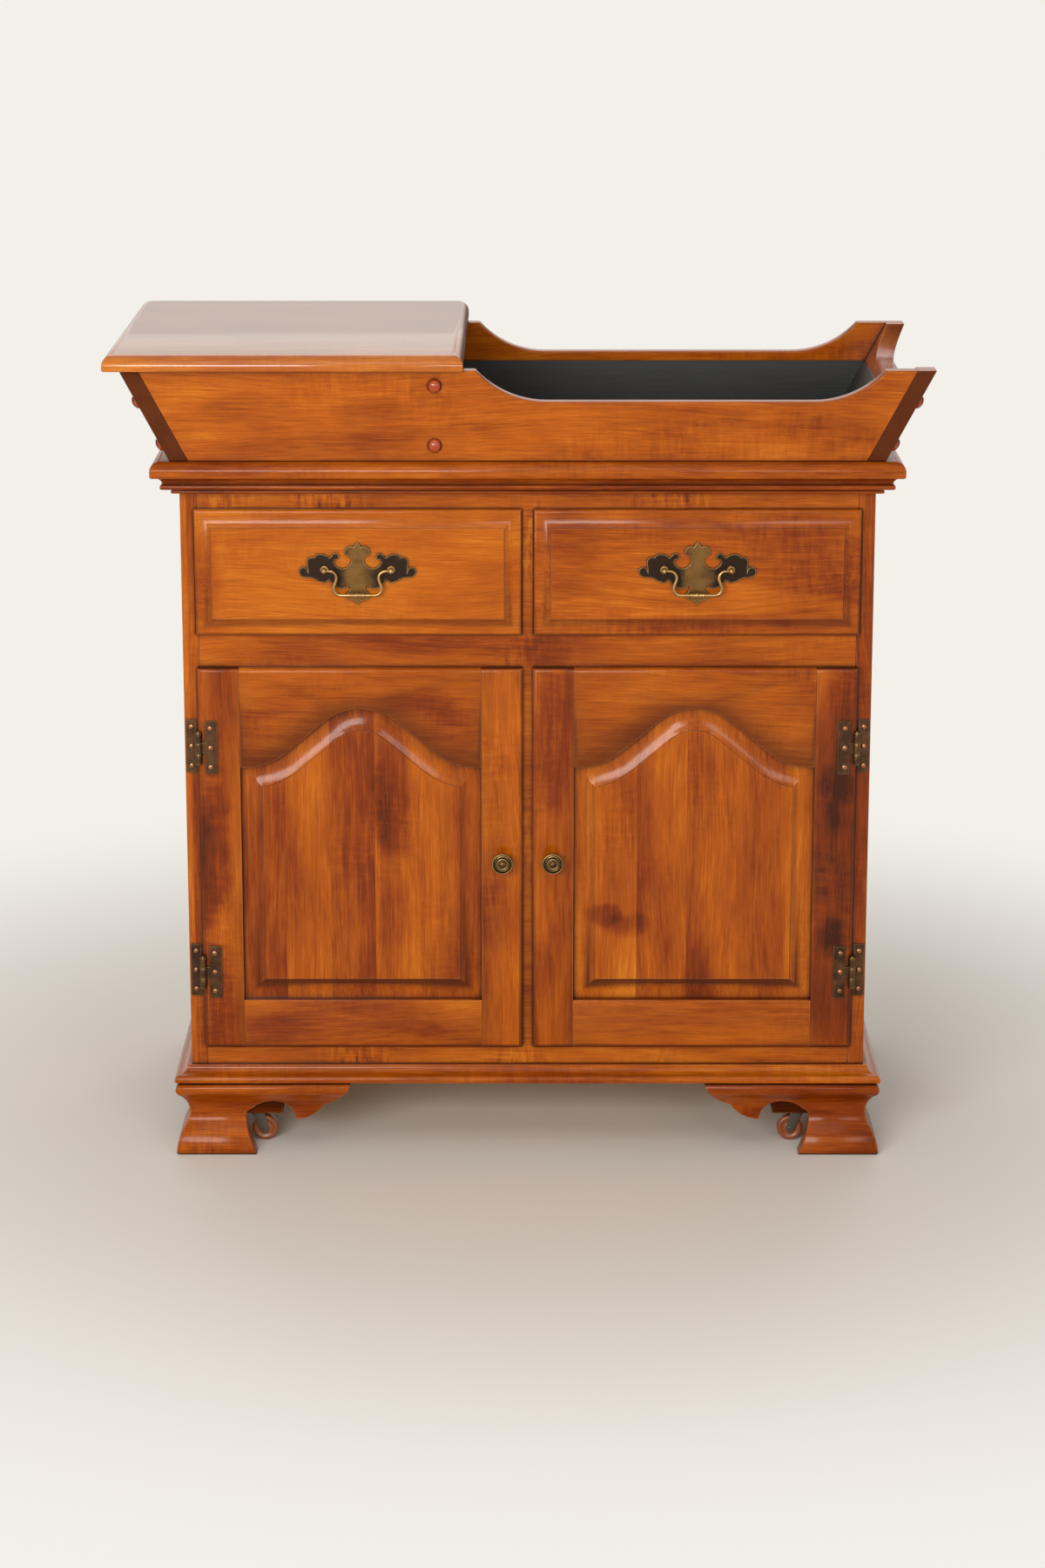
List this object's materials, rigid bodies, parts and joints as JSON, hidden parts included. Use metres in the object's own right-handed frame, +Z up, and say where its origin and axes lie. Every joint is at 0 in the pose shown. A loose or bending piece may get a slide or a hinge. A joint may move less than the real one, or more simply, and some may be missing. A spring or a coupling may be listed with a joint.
{
  "type": "dry sink cabinet",
  "caption": "Wooden cupboard on bracket feet with arched panel doors, lipped drawers and a splayed trough on top, part of it under a hinged lid.",
  "frame": {"origin": "on the floor under the middle of the whole cabinet's box", "axes": "+X to the right as seen from the front, +Y to the rear, +Z up"},
  "size_m": [0.9376, 0.4746, 0.9516],
  "materials": {
    "maple": "satin lacquered honey maple",
    "panel_wood": "plain unstained secondary wood",
    "antique_brass": "antiqued brass",
    "black_liner": "matt black",
    "steel": "plated steel",
    "amber_wheel": "amber plastic",
    "catch_plastic": "brown plastic"
  },
  "bodies": {
    "cabinet": {"side_panel_left": "maple", "side_panel_right": "maple", "case_back": "panel_wood", "case_bottom": "panel_wood", "cupboard_shelf": "panel_wood", "drawer_deck": "panel_wood", "face_frame": "maple", "drawer_guides": "panel_wood", "base_frame": "maple", "cornice_moulding": "maple", "feet_front_faces": "maple", "feet_side_returns": "maple", "feet_rear_sides": "maple", "feet_rear_braces": "maple", "corner_blocks": "panel_wood", "waist_board": "maple", "well_front_board": "maple", "well_back_board": "maple", "well_end_right": "maple", "well_end_left": "maple", "well_divider": "maple", "well_liner": "black_liner", "lid_hinge_back_leaves": "antique_brass", "case_hinge_leaves": "antique_brass", "door_catches": "catch_plastic"},
    "lid": {"lid": "maple", "lid_hinge_leaves": "antique_brass"},
    "door_left": {"door_left_stiles": "maple", "door_left_rails": "maple", "door_left_panel": "maple", "door_left_knob": "antique_brass", "door_left_hinge_leaves": "antique_brass"},
    "drawer_left": {"drawer_left_front": "maple", "drawer_left_box": "panel_wood", "drawer_left_bottom": "panel_wood", "drawer_left_pull_plate": "antique_brass", "drawer_left_pull_posts": "antique_brass"},
    "bail_left": {"drawer_left_bail": "antique_brass"},
    "door_right": {"door_right_stiles": "maple", "door_right_rails": "maple", "door_right_panel": "maple", "door_right_knob": "antique_brass", "door_right_hinge_leaves": "antique_brass"},
    "drawer_right": {"drawer_right_front": "maple", "drawer_right_box": "panel_wood", "drawer_right_bottom": "panel_wood", "drawer_right_pull_plate": "antique_brass", "drawer_right_pull_posts": "antique_brass"},
    "bail_right": {"drawer_right_bail": "antique_brass"},
    "caster_front_left": {"caster_fork_front_left": "steel"},
    "wheel_front_left": {"caster_wheel_front_left": "amber_wheel"},
    "caster_front_right": {"caster_fork_front_right": "steel"},
    "wheel_front_right": {"caster_wheel_front_right": "amber_wheel"},
    "caster_rear_left": {"caster_fork_rear_left": "steel"},
    "wheel_rear_left": {"caster_wheel_rear_left": "amber_wheel"},
    "caster_rear_right": {"caster_fork_rear_right": "steel"},
    "wheel_rear_right": {"caster_wheel_rear_right": "amber_wheel"}
  },
  "joints": [
    {"name": "lid_hinge", "type": "hinge", "parent": "cabinet", "child": "lid", "pos_m": [-0.266, 0.19925, 0.9296], "axis": [-1, 0, 0], "range_deg": [0, 95]},
    {"name": "door_left_hinge", "type": "hinge", "parent": "cabinet", "child": "door_left", "pos_m": [-0.3705, -0.21615, 0.359], "axis": [0, 0, -1], "range_deg": [0, 170]},
    {"name": "drawer_left_slide", "type": "slide", "parent": "cabinet", "child": "drawer_left", "axis": [0, -1, 0], "range_m": [0, 0.3]},
    {"name": "bail_left_swing", "type": "hinge", "parent": "drawer_left", "child": "bail_left", "pos_m": [-0.1846, -0.22685, 0.704], "axis": [-1, 0, 0], "range_deg": [0, 100]},
    {"name": "door_right_hinge", "type": "hinge", "parent": "cabinet", "child": "door_right", "pos_m": [0.3885, -0.21615, 0.359], "axis": [0, 0, 1], "range_deg": [0, 170]},
    {"name": "drawer_right_slide", "type": "slide", "parent": "cabinet", "child": "drawer_right", "axis": [0, -1, 0], "range_m": [0, 0.3]},
    {"name": "bail_right_swing", "type": "hinge", "parent": "drawer_right", "child": "bail_right", "pos_m": [0.2026, -0.22685, 0.704], "axis": [-1, 0, 0], "range_deg": [0, 100]},
    {"name": "caster_front_left_swivel", "type": "hinge", "parent": "cabinet", "child": "caster_front_left", "pos_m": [-0.3135, -0.16375, 0.06], "axis": [0, 0, 1], "continuous": true},
    {"name": "wheel_front_left_spin", "type": "hinge", "parent": "caster_front_left", "child": "wheel_front_left", "pos_m": [-0.3045, -0.16375, 0.0155], "axis": [0, 1, 0], "continuous": true},
    {"name": "caster_front_right_swivel", "type": "hinge", "parent": "cabinet", "child": "caster_front_right", "pos_m": [0.3315, -0.16375, 0.06], "axis": [0, 0, 1], "continuous": true},
    {"name": "wheel_front_right_spin", "type": "hinge", "parent": "caster_front_right", "child": "wheel_front_right", "pos_m": [0.3225, -0.16375, 0.0155], "axis": [0, 1, 0], "continuous": true},
    {"name": "caster_rear_left_swivel", "type": "hinge", "parent": "cabinet", "child": "caster_rear_left", "pos_m": [-0.3135, 0.18425, 0.06], "axis": [0, 0, 1], "continuous": true},
    {"name": "wheel_rear_left_spin", "type": "hinge", "parent": "caster_rear_left", "child": "wheel_rear_left", "pos_m": [-0.3045, 0.18425, 0.0155], "axis": [0, 1, 0], "continuous": true},
    {"name": "caster_rear_right_swivel", "type": "hinge", "parent": "cabinet", "child": "caster_rear_right", "pos_m": [0.3315, 0.18425, 0.06], "axis": [0, 0, 1], "continuous": true},
    {"name": "wheel_rear_right_spin", "type": "hinge", "parent": "caster_rear_right", "child": "wheel_rear_right", "pos_m": [0.3225, 0.18425, 0.0155], "axis": [0, 1, 0], "continuous": true}
  ]
}
